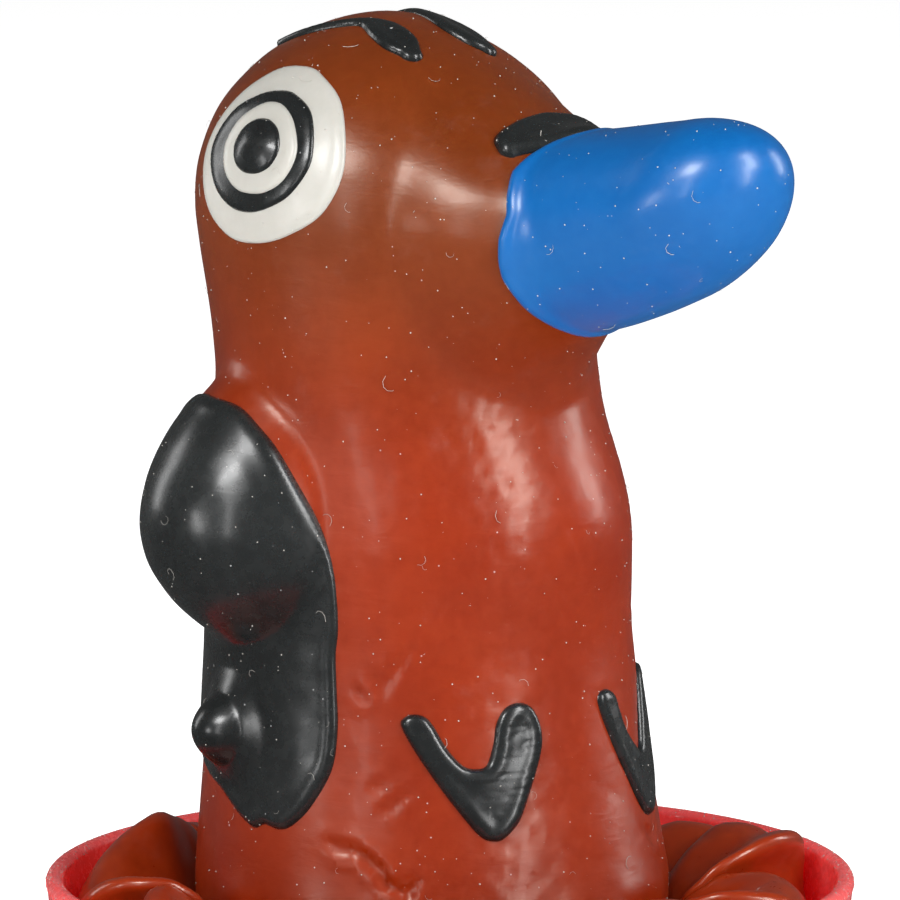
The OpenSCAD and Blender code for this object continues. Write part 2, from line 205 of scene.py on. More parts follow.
# ---- Former ------------------------------------------------------------------------------------
# A hollow moulded post on a flange. It stands on the cup's floor, and the figure is drawn down
# over it like a glove, so that the thin film holds its shape. It shows only when the bird is lifted.

former_ivory = Finish("former_ivory_satin", IOR=1.47)
grain = former_ivory.noise(2.2, 3)
ivory = former_ivory.noise(0.05, 2).tint((0.5, 0.47, 0.39), (0.58, 0.55, 0.47))
former_ivory.set("Base Color", ivory)
former_ivory.set("Roughness", 0.42 + 0.16 * grain)
former_ivory.bump(grain, 0.02, 0.5)
cad_finish(former_ivory, "former")

# ---- Latex sheath ------------------------------------------------------------------------------
# The figure itself: a hollow brown latex sheath, dipped on a carved mould with a head, a bill,
# a round shoulder and a small tip on each side, and a swelling breast. The wall is 0.8 mm.

SHEATH_D, NECK_D, HEAD_D = 35.2, 28.0, 29.8
DOME_H = 14.0                                # height of the crown above the head's widest place
SKIN_WALL = 0.8
SET_BACK, LEAN_BACK = 1.8, 3.4               # how far the axis is behind the cup's, and leans further
TUCK = 10.0                                  # how far the sheath reaches below the lip
BIRD_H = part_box("bird_skin")[1].z / MM - LIP_Z
HEAD_H = BIRD_H - DOME_H
NECK_H, SHOULDER_H, TIP_H, BREAST_H = 0.76 * HEAD_H, 0.56 * HEAD_H, 0.24 * HEAD_H, 0.5 * HEAD_H
BILL_H = HEAD_H - 0.5
BILL_ROOT_F = HEAD_D / 2 - 3
BILL_REACH = 36.2
BILL_CAP = 7.5                               # length of the bill's round end
WING_ANGLE = 107.0                           # degrees from the bill round to a shoulder's middle
BLEND = 1.8                                  # how softly the bill runs into the face


def ease(t):
    t = np.clip(t, 0, 1)
    return t * t * (3 - 2 * t)


def mix(a, b, t):
    return a + (b - a) * t


def softened(x, k):
    """x where it is well above 0, 0 where it is well below, and smooth between."""
    return (x + np.sqrt(x * x + k * k)) / 2


def axis_y(h):
    """How far back the figure's axis lies at a height. It leans back, and the head a little more."""
    return SET_BACK + LEAN_BACK * np.clip(h / HEAD_H, 0, 1.3) ** 0.92 + 0.35 * ease((h - HEAD_H) / 8)


def plain_r(h):
    """Radius of the sheath without its swellings, up to the head's widest place."""
    low = mix(NECK_D, SHEATH_D, (1 - np.clip(h, 0, NECK_H) / NECK_H) ** 1.4)
    high = mix(NECK_D, HEAD_D, ease((h - NECK_H) / (HEAD_H - NECK_H)))
    return np.where(h < NECK_H, low, high) / 2


def swell(distance, reach, out, power, soft=0.1):
    """A round swelling that rises out of the sheath with a soft foot."""
    return out * softened(1 - (distance / reach) ** 2, soft) ** power


def away(a, h, a0, h0, above=1.0):
    """Distance over the sheath from one place on it. What lies above can count for less."""
    up = h - h0
    return np.hypot((a - a0) * math.pi / 180 * plain_r(np.float64(h0)), np.where(up > 0, up / above, up))


def swellings(a, h):
    """How far the sheath stands out of its plain form, a degrees round from the bill."""
    side = np.abs(a)
    breast = 2.15 * np.exp(-(((h - BREAST_H - 2.2) / 7) ** 2)) * np.exp(-((a / 60) ** 2))
    muzzle = swell(away(a, h, 0, BILL_H - 0.6), 13, 6.3, 1.5)
    shoulder = swell(away(side, h, WING_ANGLE, SHOULDER_H - 0.75, 1.27), 8.6, 6.7, 0.9, 0.14)
    cheek = 0.8 * np.exp(-((away(side, h, 77, 40) / 5.5) ** 2))
    tip = away(side, h, WING_ANGLE, TIP_H)
    return breast + muzzle + shoulder + cheek + swell(tip, 4.6, 1.2, 1.8) + swell(tip, 2.3, 1.5, 0.8, 0.15)


def bill_line(f):
    """Height of the bill's middle, its half-width and its half-depth, f ahead of the head's axis."""
    t = np.clip((f - BILL_ROOT_F) / (BILL_REACH - BILL_ROOT_F), 0, 1)
    return BILL_H - 0.85 + 5.85 * t**1.8, mix(7.45, 6.2, ease(t)), mix(7.3, 5.7, ease(t**1.3))


def figure(p):
    """Signed distance, nearly, from the sheath's outside. Points are millimetres, height from the lip."""
    x, y, h = p[:, 0], p[:, 1], p[:, 2]
    back = y - axis_y(h)
    rho = np.hypot(x, back)
    a = np.degrees(np.arctan2(x, -back))
    out = swellings(a, h)
    body = rho - plain_r(h) - out
    girth = HEAD_D / 2 + out
    t = np.clip((h - HEAD_H) / DOME_H, 0, None)
    dome = (((rho / girth) ** 2 + 0.002) ** 0.893 + t * t) ** 0.56
    body = np.where(h > HEAD_H, (dome - 1) * girth, body)
    ahead = axis_y(HEAD_H) - y
    middle, wide, deep = bill_line(ahead)
    end = np.clip((ahead - BILL_REACH + BILL_CAP) / BILL_CAP, 0, None)
    root = np.clip((BILL_ROOT_F - ahead) / 6, 0, None)
    bill = (np.sqrt((x / wide) ** 2 + ((h - middle) / deep) ** 2 + end**2 + root**2) - 1) * 6
    share = np.clip(0.5 + 0.5 * (body - bill) / BLEND, 0, 1)
    return mix(body, bill, share) - BLEND * share * (1 - share)


def slope(p, step=0.02):
    """The figure's gradient at each point."""
    rise = [figure(p + axis * step) - figure(p - axis * step) for axis in np.eye(3)]
    return np.stack(rise, 1) / (2 * step)


def lumps(p, size, seed):
    """Smooth noise from -1 to 1 with lumps about size millimetres apart."""
    table = np.random.default_rng(seed).uniform(-1, 1, (32, 32, 32))
    q = np.asarray(p, float) / size + 64.0
    i = np.floor(q).astype(int)
    w = ease(q - i)
    total = np.zeros(len(q))
    for corner in np.ndindex(2, 2, 2):
        at = (i + corner) % 32
        share = np.where(np.array(corner) == 1, w, 1 - w).prod(1)
        total += share * table[at[:, 0], at[:, 1], at[:, 2]]
    return total


def path_distance(q, path):
    """Distance from flat points to an open path, and how far along the path, 0 to 1, the near place is."""
    path = np.asarray(path, float)
    best = np.full(len(q), 1e9)
    along = np.zeros(len(q))
    for n, (start, end) in enumerate(zip(path[:-1], path[1:])):
        run = end - start
        t = np.clip(((q - start) @ run) / max(run @ run, 1e-12), 0, 1)
        gap = np.linalg.norm(q - start - t[:, None] * run, axis=1)
        along = np.where(gap < best, (n + t) / (len(path) - 1), along)
        best = np.minimum(best, gap)
    return best, along


# Creases where the film drags on the sheath, as (degrees, height) paths with their depth and width.
CREASES = (
    (
        [(-72, 4.9), (-69, 4.4), (-65, 4.3), (-61, 3.3), (-58, 2.9), (-56, 1.7), (-53, 1.3), (-51, 2.3)],
        0.34,
        0.5,
    ),
    ([(-51, 2.3), (-52, 1.2), (-55, 1.8), (-60, 2.1)], 0.26, 0.45),
    ([(-60, 17.0), (-57, 15.9), (-51, 18.2), (-48, 19.4)], 0.14, 0.5),
    ([(-65, 15.8), (-62.5, 15.3), (-60.5, 15.5)], 0.16, 0.4),
    ([(-62, 8.9), (-56, 9.2)], 0.12, 0.45),
    ([(-58, 7.2), (-54, 7.8), (-50, 8.7)], 0.16, 0.45),
    ([(20, 4.4), (26, 3.2), (31, 3.6)], 0.2, 0.5),
    ([(95, 3.5), (101, 2.3), (108, 2.6), (113, 1.4)], 0.3, 0.5),
    ([(160, 9.0), (166, 7.4), (173, 7.7)], 0.24, 0.5),
    ([(-175, 3.2), (-168, 2.1), (-160, 2.8)], 0.28, 0.5),
    ([(60, 13.0), (65, 12.2), (70, 12.9)], 0.15, 0.45),
)


def unevenness(p):
    """How far the latex stands out of its smooth form: soft lumps, fine wrinkles across, and creases."""
    h = p[:, 2]
    a = np.degrees(np.arctan2(p[:, 0], -(p[:, 1] - axis_y(h))))
    out = 0.11 * lumps(p, 7.0, 1) + 0.045 * lumps(p, 2.6, 2)
    squeezed = p * (0.55, 0.55, 1.5)
    trunk = ease((h + 4) / 6) * ease((40 - h) / 5)
    band = 0.35 + 0.65 * np.exp(-(((a + 23) / 13) ** 2))
    bare = ease((np.abs(np.abs(a) - WING_ANGLE) - 36) / 6)
    crepe = 1 - np.abs(lumps(squeezed + 0.4 * lumps(p, 3.0, 3)[:, None], 0.85, 4))
    out = out - 0.11 * trunk * band * bare * (crepe**4 - 0.3)
    flat = np.stack([a * math.pi / 180 * SHEATH_D / 2, h], 1)
    flat = flat + 0.25 * np.stack([lumps(p, 1.3, 5), lumps(p, 1.3, 6)], 1)
    for path, depth, width in CREASES:
        gap, along = path_distance(flat, [(deg * math.pi / 180 * SHEATH_D / 2, up) for deg, up in path])
        taper = np.sqrt(np.clip(4 * along * (1 - along), 0, 1)) * 0.8 + 0.2
        x = gap / width
        out = out + depth * taper * (0.55 * np.exp(-(((x - 1.5) / 0.9) ** 2)) - np.exp(-(x**2)))
    return out


def onto_skin(p, rounds=6, limit=1.5):
    """Points moved onto the sheath's outside, and its outward directions there."""
    p = np.array(p, float)
    for _ in range(rounds):
        g = slope(p)
        step = figure(p)[:, None] * g / np.maximum((g * g).sum(1), 1e-6)[:, None]
        size = np.linalg.norm(step, axis=1, keepdims=True)
        p -= step * np.minimum(1, limit / np.maximum(size, 1e-9))
    g = slope(p)
    g /= np.linalg.norm(g, axis=1, keepdims=True)
    return p + g * unevenness(p)[:, None], g


def ring_faces(rings, around):
    """Quads between rings of points that run the same way round."""
    i, j = np.meshgrid(np.arange(rings - 1), np.arange(around), indexing="ij")
    k = (j + 1) % around
    quads = np.stack([i * around + j, i * around + k, (i + 1) * around + k, (i + 1) * around + j], -1)
    return quads.reshape(-1, 4).tolist()


def put(name, points, faces, finish=None):
    """A mesh object from millimetre points whose heights are from the cup's lip."""
    mesh = bpy.data.meshes.new(name)
    points = (np.asarray(points, float) + (0, 0, LIP_Z)) * MM
    mesh.from_pydata(points.tolist(), [], [list(f) for f in faces])
    mesh.validate()
    obj = bpy.data.objects.new(name, mesh)
    bpy.context.scene.collection.objects.link(obj)
    if finish:
        mesh.materials.append(finish.material)
    mesh.shade_smooth()
    return obj


def settled(obj):
    """A plain mesh in place of obj's mesh and modifiers."""
    bpy.context.view_layer.update()
    view = obj.evaluated_get(bpy.context.evaluated_depsgraph_get())
    mesh = bpy.data.meshes.new_from_object(view)
    obj.modifiers.clear()
    old, obj.data = obj.data, mesh
    mesh.name = obj.name
    bpy.data.meshes.remove(old)
    return obj


def outwards(obj):
    """Turns every face of a piece to look outwards, and drops points that no face uses."""
    edit = bmesh.new()
    edit.from_mesh(obj.data)
    bmesh.ops.delete(edit, geom=[v for v in edit.verts if not v.link_faces], context="VERTS")
    bmesh.ops.recalc_face_normals(edit, faces=edit.faces[:])
    edit.to_mesh(obj.data)
    edit.free()
    obj.data.shade_smooth()


def closed_tube(rings):
    """Rings of points joined up, with both ends filled."""
    around = len(rings[0])
    ends = [list(range(around))[::-1], [(len(rings) - 1) * around + j for j in range(around)]]
    return np.concatenate(rings), ring_faces(len(rings), around) + ends


def ring_round(h, a, r):
    """Points at angles a, in radians from the bill, and radius r round the axis at height h."""
    return np.stack([r * np.sin(a), axis_y(h) - r * np.cos(a), np.broadcast_to(h, np.shape(a))], 1)


def bill_ring(f, turn, cap=1.0):
    """Points round the bill f ahead of the head's axis, turn from its top, drawn in by cap at its end."""
    middle, wide, deep = bill_line(f)
    ahead = np.broadcast_to(axis_y(HEAD_H) - f, turn.shape)
    return np.stack([wide * cap * np.sin(turn), ahead, middle + deep * cap * np.cos(turn)], 1)


def rough_sheath():
    """A closed form close to the figure, for the remesh to start from."""
    turn = np.linspace(-180, 180, 96, endpoint=False)
    crown = HEAD_H + DOME_H * np.sin(np.radians(np.arange(6, 90, 6)))
    rings = []
    for h in np.concatenate([np.linspace(-TUCK - 3, HEAD_H, 60), crown]):
        dome = max(0.02, 1 - max(0, (h - HEAD_H) / DOME_H) ** 2) ** 0.56
        r = (plain_r(np.float64(h)) + swellings(turn, h)) * (dome if h > HEAD_H else 1)
        rings.append(ring_round(h, np.radians(turn), r))
    return closed_tube(rings)


def rough_bill():
    """The same for the bill."""
    turn = np.linspace(0, 2 * math.pi, 64, endpoint=False)
    cap = BILL_REACH - BILL_CAP * (1 - np.sin(np.radians(np.arange(10, 90, 10))))
    rings = []
    for f in np.concatenate([np.linspace(BILL_ROOT_F - 4, BILL_REACH - BILL_CAP, 24), cap]):
        drawn_in = math.sqrt(max(0, 1 - max(0, (f - BILL_REACH + BILL_CAP) / BILL_CAP) ** 2))
        rings.append(bill_ring(f, turn, drawn_in))
    return closed_tube(rings)


def coordinates(mesh):
    """A mesh's points, in metres."""
    co = np.zeros(len(mesh.vertices) * 3, np.float32)
    mesh.vertices.foreach_get("co", co)
    return co.reshape(-1, 3).astype(float)


def move_to(mesh, points):
    mesh.vertices.foreach_set("co", np.asarray(points, np.float32).ravel())
    mesh.update()


body_points, body_faces = rough_sheath()
bill_points, bill_faces = rough_bill()
bill_faces = [[i + len(body_points) for i in f] for f in bill_faces]
sheath = put("sheath", np.concatenate([body_points, bill_points]), body_faces + bill_faces)
remesh = sheath.modifiers.new("remesh", "REMESH")
remesh.mode = "VOXEL"
remesh.voxel_size = 0.52 * MM
settled(sheath)
shell = coordinates(sheath.data) / MM - (0, 0, LIP_Z)
low_rim = shell[:, 2] < -TUCK - 1            # this end is cut off below, so it stays as it is
outside, _ = onto_skin(shell)
outside[low_rim] = shell[low_rim]
move_to(sheath.data, (outside + (0, 0, LIP_Z)) * MM)
edit = bmesh.new()
edit.from_mesh(sheath.data)
bmesh.ops.bisect_plane(
    edit,
    geom=edit.verts[:] + edit.edges[:] + edit.faces[:],
    plane_co=(0, 0, (LIP_Z - TUCK) * MM),
    plane_no=(0, 0, -1),
    clear_outer=True,
)
bmesh.ops.recalc_face_normals(edit, faces=edit.faces[:])
edit.to_mesh(sheath.data)
edit.free()
sheath.data.shade_smooth()


def latex(name, pale, deep, rough, coat=0.0, dusty=0.5, clear=False, rippled=0.15, head_shade=None):
    """Dipped latex: a clouded colour with dust caught in it, a soft sheen and a faint ripple.

    clear latex lets light in and warms what it reflects. The last argument is a pair of darker,
    duller colours painted on the head as shade, fading in with height.
    """
    finish = Finish(
        name,
        IOR=1.52,
        Subsurface_Weight=0.18 if clear else 0.05,
        Subsurface_Radius=(1.0, 0.35, 0.2),
        Subsurface_Scale=0.0016,
        Coat_Weight=coat,
        Coat_Roughness=0.16,
        Specular_Tint=(1.0, 0.84, 0.7, 1) if clear else (1, 1, 1, 1),
    )
    broad = finish.noise(0.09, 3, 0.6)
    fine = finish.noise(1.1, 4, 0.65)
    cloud = (broad * 0.75 + fine * 0.35).between(0.3, 0.85)
    colour = cloud.tint(deep, pale)
    # Painted shade: from 28 to 52 mm above the lip the colour turns to the darker, duller head colours.
    if head_shade:
        colour = finish.height().between(LIP_Z + 28, LIP_Z + 52).tint(colour, cloud.tint(*head_shade))
    dust = finish.specks(1.15, 0.2, 0.085) + finish.specks(0.55, 0.1, 0.07)
    haze = finish.noise(0.22, 5, 0.7).between(0.56, 0.8)
    grey = tuple(min(1, 0.45 * c + 0.42) for c in pale)
    finish.set("Base Color", (dust * dusty + haze * 0.025).clip().tint(colour, grey))
    finish.set("Roughness", (rough + 0.14 * (fine - 0.5) + 0.25 * dust + 0.1 * haze).clip())
    ripple = finish.noise(0.55, 3, 0.6, stretch=(0.55, 0.55, 1.9), distortion=0.5)
    finish.bump(ripple * 0.55 + fine * 0.12 + dust * 0.3, 0.11, rippled)
    return finish


# Darker, duller colours painted on the head as shade.
painted_head_shade = ((0.13, 0.021, 0.002), (0.18, 0.03, 0.003))
brown_latex = latex(
    "brown_latex", (0.275, 0.021, 0.0004), (0.2, 0.0125, 0.0003), 0.33, 0.1, 0.6, True, 0.4, painted_head_shade
)
sheath.data.materials.clear()
sheath.data.materials.append(brown_latex.material)
wall = sheath.modifiers.new("wall", "SOLIDIFY")
wall.thickness = SKIN_WALL * MM
wall.offset = -1
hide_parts("bird_skin")
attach(sheath, "bird")

# ---- Blue bill ---------------------------------------------------------------------------------
# The bill is dipped again in blue latex. The coat lies over the brown one, thick and smooth, and
# its edge wanders where it ran back towards the face.

COAT = 0.35                                  # thickness of a coat
SUNK = -0.08                                 # its underside lies this far out of the skin


def rounded(inside, height, edge):
    """Thickness of a coat with a round edge, from how far inside its outline a point is."""
    return height * np.sqrt(1 - (1 - np.clip(inside / edge, 0, 1)) ** 2)


def lifted(points, outward, amount):
    """Points moved out from the skin, each by its own amount."""
    return points + outward * np.asarray(amount)[:, None]


def closed_coat(name, top, under, faces, finish):
    """A coat on the bird with a top and an underside that meet along its edge."""
    count = len(top)
    faces = [list(f) for f in faces]
    edges = {}
    for face in faces:
        for a, b in zip(face, face[1:] + face[:1]):
            if (b, a) in edges:
                del edges[(b, a)]
            else:
                edges[(a, b)] = True
    rim = [[b, a, a + count, b + count] for a, b in edges]
    back = [[i + count for i in f][::-1] for f in faces]
    obj = put(name + "_coat", np.concatenate([top, under]), faces + back + rim, finish)
    outwards(obj)
    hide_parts(name)
    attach(obj, "bird")
    return obj


def wander(angle, seed, *sizes):
    """A closed line's unevenness: two waves round it for the first size, three for the next, and so on."""
    phases = np.random.default_rng(seed).uniform(0, 2 * math.pi, len(sizes))
    return sum(s * np.sin((n + 2) * angle + p) for n, (s, p) in enumerate(zip(sizes, phases)))


# How far ahead of the head's axis the blue starts, every so many degrees from the bill's top.
BLUE_EDGE = [(0, 19.5), (10, 19.2), (24, 17.9), (36, 17.2), (51, 16.6), (65, 17.0), (75, 17.4), (87, 16.9)]
BLUE_EDGE += [(99, 16.8), (108, 16.9), (119, 17.5), (128, 17.9), (141, 18.5), (156, 19.0), (180, 19.3)]


def blue_edge(turn):
    """Where the blue starts, turn radians round from the bill's top."""
    degrees = np.abs((np.degrees(turn) + 180) % 360 - 180)
    return np.interp(degrees, *np.transpose(BLUE_EDGE)) + wander(turn, 5, 0.05, 0.1, 0.1, 0.1, 0.06)


blue_latex = latex("blue_latex", (0.0, 0.118, 0.38), (0.0, 0.092, 0.32), 0.32, 0.15, 0.3)
turn = np.linspace(0, 2 * math.pi, 128, endpoint=False)
rings, inside = [], []
start = blue_edge(turn)
for s in np.linspace(0, 1, 52):
    f = mix(start, BILL_REACH - BILL_CAP, s**1.25)
    rings.append(bill_ring(f, turn))
    inside.append(f - start)
for angle in np.radians(np.linspace(4, 88, 24)):
    f = BILL_REACH - BILL_CAP * (1 - math.sin(angle))
    rings.append(bill_ring(f, turn, math.cos(angle)))
    inside.append(f - start)
tube, faces = closed_tube(rings)
del faces[-2]                                # the blue is open where it starts
place, outward = onto_skin(tube)
inside = np.concatenate(inside)
thick = rounded(inside, COAT, 0.5) + 0.1 * np.exp(-(((inside - 0.7) / 0.45) ** 2)) + 0.02
under = lifted(place, outward, np.full(len(place), SUNK))
closed_coat("bill", lifted(place, outward, thick), under, faces, blue_latex)

# ---- Black coats: saddle, brows, wings, feet ---------------------------------------------------
# Thick black latex laid on by hand: a saddle over the bill's root, a brow over each eye, a wing
# over each shoulder down to its tip, and a foot each side of the breast. The edges are rounded.


def round_path(points, closed, per=12):
    """A smooth line through points, per steps for each."""
    points = np.asarray(points, float)
    count = len(points)
    line = []
    for n in range(count if closed else count - 1):
        if closed:
            a, b, c, d = (points[(n + k) % count] for k in (-1, 0, 1, 2))
        else:
            a, b, c, d = (points[min(max(n + k, 0), count - 1)] for k in (-1, 0, 1, 2))
        t = np.arange(per)[:, None] / per
        bend, twist = 2 * a - 5 * b + 4 * c - d, 3 * b - a - 3 * c + d
        line.append(0.5 * (2 * b + (c - a) * t + bend * t**2 + twist * t**3))
    if not closed:
        line.append(points[-1:])
    return np.concatenate(line)


CHART_R = 14.9                               # radius that turns degrees into millimetres round the body
DEG = math.pi / 180 * CHART_R


def patch_field(outline):
    """Distance to a closed outline, below 0 inside it."""
    loop = round_path(outline, True)

    def field(q):
        nearest, _ = path_distance(q, np.concatenate([loop, loop[:1]]))
        inside = np.zeros(len(q), bool)
        for (x0, y0), (x1, y1) in zip(loop, np.roll(loop, -1, axis=0)):
            if y0 != y1:
                crossing = (q[:, 1] >= min(y0, y1)) & (q[:, 1] < max(y0, y1))
                inside ^= crossing & (q[:, 0] < x0 + (q[:, 1] - y0) * (x1 - x0) / (y1 - y0))
        return np.where(inside, -nearest, nearest)

    return field


def stroke_field(path):
    """Distance to a brush stroke along a path of (place, place, width), below 0 inside it."""
    line = round_path(path, False)

    def field(q):
        gap, along = path_distance(q, line[:, :2])
        return gap - np.interp(along, np.linspace(0, 1, len(line)), line[:, 2]) / 2

    return field


def filled_grid(field, low, high, step):
    """A square grid cut to an outline. The corners of its outer cells are drawn onto the outline."""
    u, v = np.arange(low[0], high[0], step), np.arange(low[1], high[1], step)
    places = np.stack(np.meshgrid(u, v, indexing="ij"), -1)
    shape = places.shape[:2]
    d = field(places.reshape(-1, 2)).reshape(shape)
    cell = (d[:-1, :-1] + d[1:, :-1] + d[:-1, 1:] + d[1:, 1:]) / 4 < 0
    used = np.zeros(shape, int)
    for i, j in ((0, 0), (1, 0), (0, 1), (1, 1)):
        used[i : i + cell.shape[0], j : j + cell.shape[1]] += cell
    edge = (used > 0) & (used < 4)
    at = places[edge]
    for _ in range(3):
        here = field(at)
        g = np.stack([field(at + (1e-3, 0)) - here, field(at + (0, 1e-3)) - here], 1) / 1e-3
        at = at - here[:, None] * g / np.maximum((g * g).sum(1), 0.2)[:, None]
    places[edge] = at
    for _ in range(4):
        calm = places.copy()
        calm[1:-1, 1:-1] = (places[:-2, 1:-1] + places[2:, 1:-1] + places[1:-1, :-2] + places[1:-1, 2:]) / 4
        places = np.where((used == 4)[..., None], calm, places)
    number = np.arange(used.size).reshape(shape)
    quads = np.stack([number[:-1, :-1], number[1:, :-1], number[1:, 1:], number[:-1, 1:]], -1)[cell]
    kept = np.unique(quads)
    lookup = np.zeros(used.size, int)
    lookup[kept] = np.arange(len(kept))
    flat = places.reshape(-1, 2)[kept]
    return flat, lookup[quads].tolist(), -field(flat)


def round_the_body(q):
    """Places (millimetres round the sheath from the front, height) to points near the skin."""
    a, h = q[:, 0] / CHART_R, q[:, 1]
    t = np.clip((h - HEAD_H) / DOME_H, 0, 0.98)
    r = (plain_r(h) + swellings(np.degrees(a), h)) * (1 - t * t) ** 0.56
    return ring_round(h, a, r)


def from_above(q):
    """Places (across, back) to points near the top of the head or of the bill's root."""
    roof = np.interp(q[:, 1], [-14, -8, 0, 5, 12], [57, 57.5, 61.5, 63.5, 61.5])
    return np.stack([q[:, 0], q[:, 1], roof], 1)


def lay_coat(
    name, field, low, high, chart, finish, slot, step=0.2, base=SUNK, height=COAT, edge=0.5, crown=0.0
):
    """One coat: its outline filled, drawn onto the skin, and given its thickness.

    base is the height of its underside. edge is how wide its round edge is, crown how far it domes.
    """
    step *= 1
    flat, faces, inside = filled_grid(field, low, high, step)
    place, outward = onto_skin(chart(flat))
    bead = 0.22 * height * np.exp(-(((inside - 0.75) / 0.4) ** 2))
    thick = base + 0.1 + rounded(inside, height, edge) + bead
    thick += crown * (1 - np.exp(-((inside / 1.2) ** 2)))
    thick += 0.03 * lumps(place, 1.6, 9) * np.clip(inside, 0, 1)
    thick -= 0.7 * unevenness(place)             # a coat fills the fine wrinkles under it
    under = lifted(place, outward, np.full(len(place), base))
    return closed_coat(name, lifted(place, outward, thick), under, faces, finish)


black_latex = latex("black_latex", (0.017, 0.019, 0.019), (0.008, 0.009, 0.009), 0.27, 0.12, 0.8)

SADDLE = [(-7.1, -11.0, 0.9), (-5.6, -10.7, 2.3), (-3.6, -10.9, 3.4), (-1.6, -11.3, 4.4), (0, -11.5, 4.9)]
SADDLE += [(1.7, -11.3, 4.4), (3.7, -10.8, 3.4), (5.5, -10.6, 2.2), (6.8, -10.7, 1.0)]
corners = (-8, -15.5), (8, -7.5)
black = (black_latex, "black_latex")
lay_coat("bill_saddle", stroke_field(SADDLE), *corners, from_above, *black, height=0.55, edge=0.8)

# Strokes are (place across, place back, width).
BROWS = {
    "right_brow": [(-5.2, 12.6, 0.7), (-5.1, 9.8, 0.9), (-4.4, 7.2, 1.1), (-3.7, 5.2, 1.4), (-3.7, 3.2, 2.8)]
    + [(-4.1, 1.2, 3.0), (-4.4, -0.2, 1.8)],
    "left_brow": [(3.9, 11.6, 0.8), (3.7, 9.0, 1.1), (2.9, 6.2, 1.4), (2.4, 4.0, 1.8), (2.3, 1.9, 2.9)]
    + [(2.4, 0.0, 2.7), (2.7, -1.1, 1.6)],
}
for name, path in BROWS.items():
    low, high = ((-7, -2.5), (-0.5, 13.5)) if name == "right_brow" else ((0, -3), (6, 13))
    lay_coat(name, stroke_field(path), low, high, from_above, *black, step=0.16)

# Outlines are (degrees round from the bill, height above the lip), for the right side.
WING = [(103.4, 36.2), (95, 35.8), (88, 34.5), (82, 32.7), (75.5, 29.6), (71, 26.7), (68.6, 23.9)]
WING += [(68.3, 20.5), (69.4, 18.3), (69.5, 16.1), (69.5, 12.8), (71.3, 9.9), (77, 7.2), (82.5, 5.7)]
WING += [(86.7, 5.3), (91.3, 5.5), (95, 5.1), (100.4, 5.7), (109.5, 7.2), (119, 8), (129, 9.4)]
WING += [(137, 12.8), (141, 17.5), (143, 22), (142, 27), (136, 31.4), (127, 34.4), (115, 36.1)]
FOOT = [(52.3, 13.4), (51.4, 14), (49.1, 14.25), (46.3, 14.1), (44.1, 13.5), (41, 11.9), (37.8, 10.75)]
FOOT += [(35, 10.3), (30.9, 10.45), (28.6, 11.9), (27, 13.5), (24.3, 14.5), (20.3, 14.8), (16.5, 14.3)]
FOOT += [(14.5, 12.9), (14.7, 11.6), (16.7, 10.1), (20.1, 8.1), (23.3, 6.4), (27.4, 5.3), (30.3, 5.05)]
FOOT += [(34, 5.5), (39.7, 7.6), (44.3, 9.5), (49, 11.6)]
LEFT_FOOT = [(6.6, 14.1), (8.2, 14.7), (11.7, 14.75), (14.8, 14.2), (16.2, 13.1), (18.7, 11.5), (23.4, 10.1)]
LEFT_FOOT += [(26.5, 9.7), (30, 11), (35, 13.3), (39.5, 14.9), (43.5, 15.3), (46.3, 14.3), (45.6, 12.6)]
LEFT_FOOT += [(41.5, 9.8), (36.5, 7.1), (31, 5.2), (26.5, 4.8), (22, 5.5), (16.8, 7.8), (11.5, 10.6)]
LEFT_FOOT += [(8.2, 12.6)]

SIDES = (("right", -1), ("left", 1))
for side, sign in SIDES:
    wing = [(sign * a * DEG, h) for a, h in WING]
    foot = [(sign * a * DEG, h) for a, h in (FOOT if side == "right" else LEFT_FOOT)]
    for name, outline in ((side + "_wing", wing), (side + "_foot", foot)):
        low, high = np.min(outline, 0) - 0.6, np.max(outline, 0) + 0.6
        step = 0.22 if "wing" in name else 0.16
        lay_coat(name, patch_field(outline), low, high, round_the_body, *black, step=step)

# ---- Eyes --------------------------------------------------------------------------------------
# Each eye is four coats on top of each other: a white round, a black disc, a white ring and a
# domed black pupil. They are laid on by hand, so no two rounds share a middle.

white_latex = latex("white_latex", (0.5, 0.485, 0.445), (0.43, 0.415, 0.375), 0.36, 0.1, -0.25)

# Degrees, height, and the radius every 30 degrees from the bill's side upwards.
EYE_COATS = {
    "white": (90.5, 53.9, [7.65, 7.95, 6.8, 6.25, 6.7, 7.5, 8.0, 7.6, 6.8, 6.15, 6.15, 6.9]),
    "disc": (92.7, 54.1, [5.65, 5.75, 4.8, 4.25, 4.4, 5.2, 5.7, 5.0, 4.45, 4.15, 4.2, 4.8]),
    "inner": (91.0, 54.4, [3.95, 3.7, 3.35, 3.15, 3.15, 3.5, 3.75, 3.6, 3.3, 3.1, 3.25, 3.65]),
    "pupil": (90.7, 54.5, [2.4, 2.25, 1.98, 1.84, 1.93, 2.15, 2.33, 2.25, 2.0, 1.86, 1.95, 2.2]),
}
EYE_COAT, EYE_RISE = 0.17, 0.19              # thickness of each coat, and how far it lifts the next
for side, sign in SIDES:
    base = SUNK
    for layer, (name, (angle, height, radii)) in enumerate(EYE_COATS.items()):
        ways = np.radians(np.arange(12) * 30)
        radii = np.array(radii) * (1 if side == "right" else 1 + wander(ways, 20 + layer, 0.012, 0.012))
        across = sign * (angle * DEG - radii * np.cos(ways))
        outline = np.stack([across, height + radii * np.sin(ways)], 1)
        low, high = np.min(outline, 0) - 0.5, np.max(outline, 0) + 0.5
        finish = (white_latex, "white_latex") if layer in (0, 2) else black
        crown = 0.4 if name == "pupil" else 0.0
        form = (0.16, base, EYE_COAT, 0.35, crown)
        lay_coat(f"{side}_eye_{name}", patch_field(outline), low, high, round_the_body, *finish, *form)
        base += EYE_RISE

